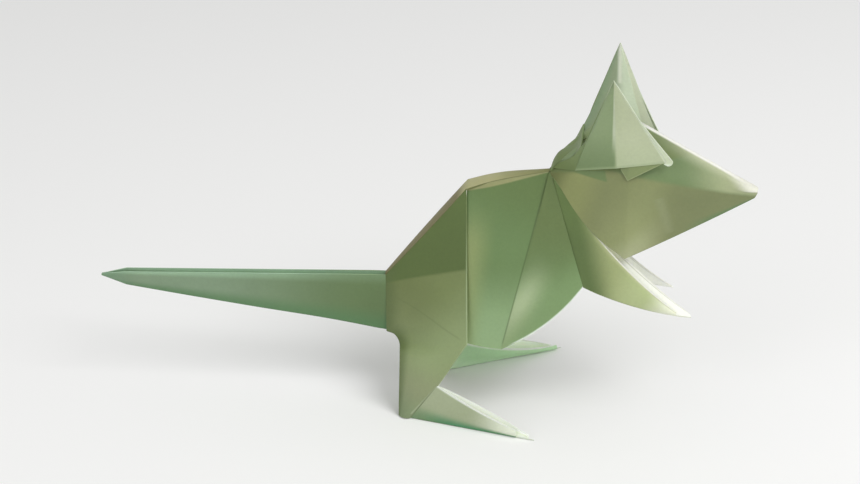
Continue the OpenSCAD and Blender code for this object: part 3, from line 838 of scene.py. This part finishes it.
for s in (NEAR, FAR):
    outer_wall = foot_wall(s, 6, 2.4) if s == NEAR else foot_wall(s, 4, FOOT_GAP)
    inner_wall = foot_wall(s, 2, -2.4) if s == NEAR else foot_wall(s, 2, -FOOT_GAP, 1.2, 5)
    seen, hidden = (outer_wall, inner_wall) if s == NEAR else (inner_wall, outer_wall)
    wall(seen, foot_papers[s], seed=21 + s)
    wall(hidden, foot_lining, seed=24 + s)
    fold(foot_edge, outer_wall[-1], inner_wall[-1])
    fold(foot_low_edge, bow(heel(s), toe(s), 0, 12))
    drops = (thigh(s), 3), (mix(thigh(s), heel(s), 0.5), 1), (heel(s), 0)
    rear = curve([p - point(-0.5, s * 1.2, drop) for p, drop in drops])
    front = curve([knee(s) - point(3.5, s * 3.4, 5), mix(knee(s), crotch(s), 0.6) - point(3, s * 2.8, 1),
                   crotch(s) - point(2, s * 2, 0)])
    wall(between(rear, front, 12), shank_paper, seed=27 + s)

# %% [markdown]
# ## Head and ears
#
# The head is a hood: two cheeks meet in a rolled ridge on top and stay apart below, and the
# roll grows towards the snout until it closes at a blunt nose. Each ear is a flap that is
# opened into a cup, with a crease down its outer face and a narrow turned rim along its front
# edge, and the near ear has the corner of a second layer below it. Behind the ears, a small
# arched wall over the nape joins the two cups and closes the hood down to the neck.

# %% Head
SNOUT_STEPS = [0.35, 0.7, 0.9, 1]


def along_snout(a, b, lift=0): return [mix(a, b, u) + 4 * u * (1 - u) * lift for u in SNOUT_STEPS]


ridge = list(bow(point(NECK_X, 0, NECK_H + 0.6), POLL, point(-1, 0, 1), 3)) + along_snout(POLL, NOSE)
last = len(ridge) - 1
for s in (NEAR, FAR):
    lip = list(bow(neck(s) + point(0, s * 0.4, -0.9), jaw(s), point(-0.4, s * 0.8, -2.5), 3)) \
        + along_snout(jaw(s), NOSE + point(-0.9, s * 0.8, -3), point(0, s * 0.7, 0))
    top = jaw(s) + point(0.5, s * 0.5, 0.58 * (POLL[2] - jaw(s)[2]))
    cheek = list(bow(neck(s) + point(0, s * 0.3, -0.3), top, point(0, s * 1.2, 0), 3)) \
        + along_snout(top, NOSE + point(-0.2, s, -1.5), point(0, s * 1.2, 0))
    widths = [0.6 if i in (0, last) else mix(1.2, 2.6, i / last) for i in range(last + 1)]
    roll = [p + point(0, s * w, -0.4 * w) for p, w in zip(ridge, widths)]
    bulged = [mix(a, b, 0.5) + point(0, s * 0.4, 0) for a, b in zip(cheek, roll)]
    middle = [mix(a, b, 0.5) for a, b in zip(lip, cheek)]
    edges = [curve(e, per=10, corners=(3,)) for e in (lip, middle, cheek, bulged, roll, ridge)]
    wall(loft(edges, per=7), head_paper, seed=30 + s)
    fold(head_lip, edges[0][:31])
    fold(chin_edge, np.vstack([edges[0][30:], cheek[-1], NOSE]))
fold(head_ridge, curve(ridge, per=10, corners=(3,)))

# %% The points of an ear
def ear_points(s):
    """Tip, rear corner, front corner and lowest point of an ear's outer face."""
    ear_x = NECK_X + 18.6
    tip = spot(s, ear_x + (0 if s == NEAR else 1.9), 17.9, 115.3)
    rear = spot(s, ear_x - 0.37 * 29, 4.5, POLL[2] - 16.6)
    front = spot(s, ear_x + (17.2 if s == NEAR else 16.4), 9.6, POLL[2] - (11.2 if s == NEAR else 15))
    return tip, rear, front, mix(rear, front, 0.45) + point(0, s * 2.6, 0.6)


# %% Ears
EAR_STEPS = [0.02, 0.35, 0.64, 1]
napes = []
for s in (NEAR, FAR):
    tip, rear, front, low = ear_points(s)
    bent = mix(tip, rear, 0.64) + point(-0.4, s * 2.6, 0.8)
    nape = spot(s, NECK_X + 1.1, 2.6, NECK_H + 2.0)
    shared = [mix(mix(tip, bent, 0.03), bent, u) for u in (0, 0.5, 1)]
    hollow, collar = spot(s, 47.5, 6.5, 86.1), spot(s, 43.4, 4.2, 83.2)
    rear_rim = curve(shared + [rear])
    crease = curve([mix(tip, low, u) - 4 * u * (1 - u) * point(0, s * 1.6, 0) for u in EAR_STEPS])
    front_rim = curve([mix(tip, front, u) + 4 * u * (1 - u) * point(0, s * 0.5, 0) for u in EAR_STEPS])
    wall(loft([rear_rim, mix(rear_rim, crease, 0.5), crease, mix(crease, front_rim, 0.5), front_rim],
              per=6, corners=(2,)), ear_papers[s], seed=33 + s, buckle=0.2)
    brow = spot(s, POLL[0] + 4.8, 3.4, POLL[2] - 6.2)
    inner_back = curve(shared + [hollow, collar, nape], per=6)
    brow_rim = np.array([mix(tip, brow, u) for u in np.linspace(0.03, 1, len(inner_back))])
    arch = np.linspace(0, 1, len(inner_back)) ** 2
    rows = [bow(a, b, point(-1, -s * 0.5, 4.2) * k, 20) for a, b, k in zip(inner_back, brow_rim, arch)]
    wall(rows, ear_lining, seed=36 + s, buckle=0.2)
    hood_edge = curve([mix(bent, hollow, 0.04), hollow, collar, nape], per=4)
    wall(between(bow(mix(bent, rear, 0.04), rear, 0, 12), hood_edge, 8), nape_paper,
         seed=39 + s, buckle=0.1)
    fold(ear_edge, np.vstack([tip, front_rim]))
    neck_end = neck(s) + point(0.3, s * 0.5, 0.3)
    napes.append(curve([mix(bent, hollow, 0.4), hollow, collar, nape, neck_end], per=6))
    fold(ear_rear_edge, np.vstack([tip, rear_rim]))

# %% The arched wall over the nape
crown = np.sin(np.linspace(-0.6, 3.0, len(napes[0])))[:, None] * point(0.2, 0, 1.9)
wall(between(*napes, 8, crown), nape_paper, seed=46, buckle=0.1)

# %% The turned rim of each ear and the second layer of the near ear
RIM_START = 0.42  # how far down the front edge the turned rim begins

for s in (NEAR, FAR):
    tip, _, front, _ = ear_points(s)
    u = np.linspace(RIM_START, 1, 20)[:, None]
    inner = mix(tip, front, u) + 4 * u * (1 - u) * point(0, s * 0.5, 0)
    grow = ((u - RIM_START) / (1 - RIM_START)) ** 1.3
    outer = inner + grow * point(1.7, -s * 0.5, 0.3)
    corner = bow(outer[-1], front + point(-0.6, 0, -1.0), point(0.7, 0, -0.5), 6)
    inner_end = inner[-1:] + np.linspace(0, 1, 5)[:, None] * point(-0.9, 0, -0.5)
    inner = np.vstack([inner, inner_end])
    outer = np.vstack([outer, corner[1:6]])
    wall(between(inner, outer, 4), ear_rim, thickness=0.3, seed=42 + s, buckle=0)
    fold(ear_edge, outer)
    if s == NEAR:
        hem = curve([point(62.4, -8.6, 83.2), point(64.6, -9.9, 80.1), front + point(-1.5, 0.3, -0.6)],
                    corners=(1,))
        wall(between(hem + point(0.5, 0.6, 4.5), hem, 8), ear_layer, thickness=0.3, seed=45, buckle=0)

# %% [markdown]
# ## One sheet, one piece
#
# The real rat is one sheet of paper, so all walls and beads are joined into one mesh. It
# rides on the part's only body and stands in for the CAD solid.

# %% Join the paper
make_folds()
parts = []
for mesh in made:
    part = bpy.data.objects.new("part", mesh)
    bpy.context.collection.objects.link(part)
    parts.append(part)
with bpy.context.temp_override(active_object=parts[0], selected_objects=parts,
                               selected_editable_objects=parts):
    bpy.ops.object.join()
rat = parts[0]
rat.name = "folded_paper"
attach(rat, "root")
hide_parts("folded_rat")
triangles = sum(len(p.vertices) - 2 for p in rat.data.polygons)
print("triangles:", triangles, "materials:", len(rat.data.materials))

# %% [markdown]
# ## Floor and light
#
# A plain pale floor keeps the rat's shadow. A wide key lamp stands high on the right, a weaker
# fill lamp stands low on the left, and a white world lifts the shadows. The level is plain, so
# each colour comes out about as it is written.

# %% Floor
floor_mesh = bpy.data.meshes.new("floor")
floor_mesh.from_pydata([(-3, -3, 0), (3, -3, 0), (3, 3, 0), (-3, 3, 0)], [], [(0, 1, 2, 3)])
floor = bpy.data.objects.new("floor", floor_mesh)
bpy.context.collection.objects.link(floor)
floor_finish = Finish("floor")
matt = floor_finish.add("ShaderNodeBsdfPrincipled", {}, Base_Color=srgb(248, 248, 247),
                        Roughness=1.0, Specular_IOR_Level=0.0)
floor_finish.add("ShaderNodeOutputMaterial", {}, matt)
floor.data.materials.append(floor_finish.material)


# %% Lights
def lamp(name, place, size, power):
    data = bpy.data.lights.new(name, "AREA")
    data.shape, data.size, data.energy = "DISK", size, power
    obj = bpy.data.objects.new(name, data)
    obj.location = place
    obj.rotation_euler = (TARGET - Vector(place)).to_track_quat("-Z", "Y").to_euler()
    bpy.context.collection.objects.link(obj)


lamp("key", (0.7, -0.5, 1.0), 0.9, 9.0)
lamp("fill", (-0.9, -0.9, 0.6), 1.0, 3.0)
world = bpy.data.worlds.new("studio")
world.use_nodes = True
world.node_tree.nodes["Background"].inputs["Color"].default_value = (1, 1, 1, 1)
world.node_tree.nodes["Background"].inputs["Strength"].default_value = 0.55
bpy.context.scene.world = world
bpy.context.scene.view_settings.view_transform = "Standard"
